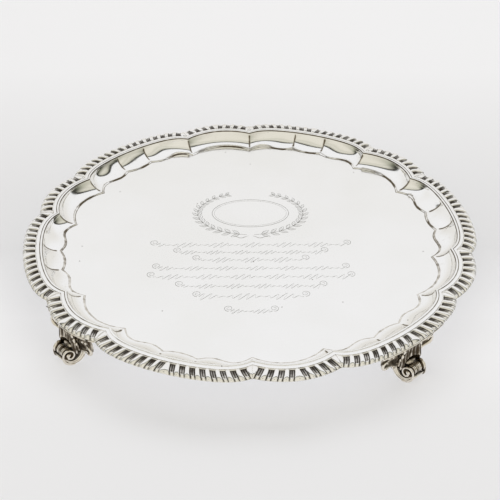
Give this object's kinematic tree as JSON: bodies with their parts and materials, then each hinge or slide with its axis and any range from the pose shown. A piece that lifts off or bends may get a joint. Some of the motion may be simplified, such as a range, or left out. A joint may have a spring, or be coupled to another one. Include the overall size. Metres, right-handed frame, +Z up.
{
  "type": "silver salver",
  "caption": "Round footed serving tray: flat plate, panelled fluted bouge, scalloped gadroon border and cast scroll feet.",
  "frame": {"origin": "on the table, under the centre of the plate", "axes": "+Z up, -Y towards the reader of the engraving, with a cusp of the border on the -Y axis"},
  "size_m": [0.4194, 0.4158, 0.0428],
  "materials": {
    "plate_silver": "polished silver with fine hairline scratches and faint engraving",
    "border_silver": "polished cast silver, dark oxide in the hollows between gadroons",
    "foot_silver": "cast and chased silver, brown-grey oxide in the recesses"
  },
  "bodies": {
    "root": {"salver_plate": "plate_silver", "border_short_1": "border_silver", "border_short_2": "border_silver", "border_short_3": "border_silver", "border_short_4": "border_silver", "border_short_5": "border_silver", "border_short_6": "border_silver", "border_long_1": "border_silver", "border_long_2": "border_silver", "border_long_3": "border_silver", "border_long_4": "border_silver", "border_long_5": "border_silver", "border_long_6": "border_silver", "scroll_foot_1": "foot_silver", "scroll_foot_2": "foot_silver", "scroll_foot_3": "foot_silver", "scroll_foot_4": "foot_silver"}
  },
  "joints": []
}
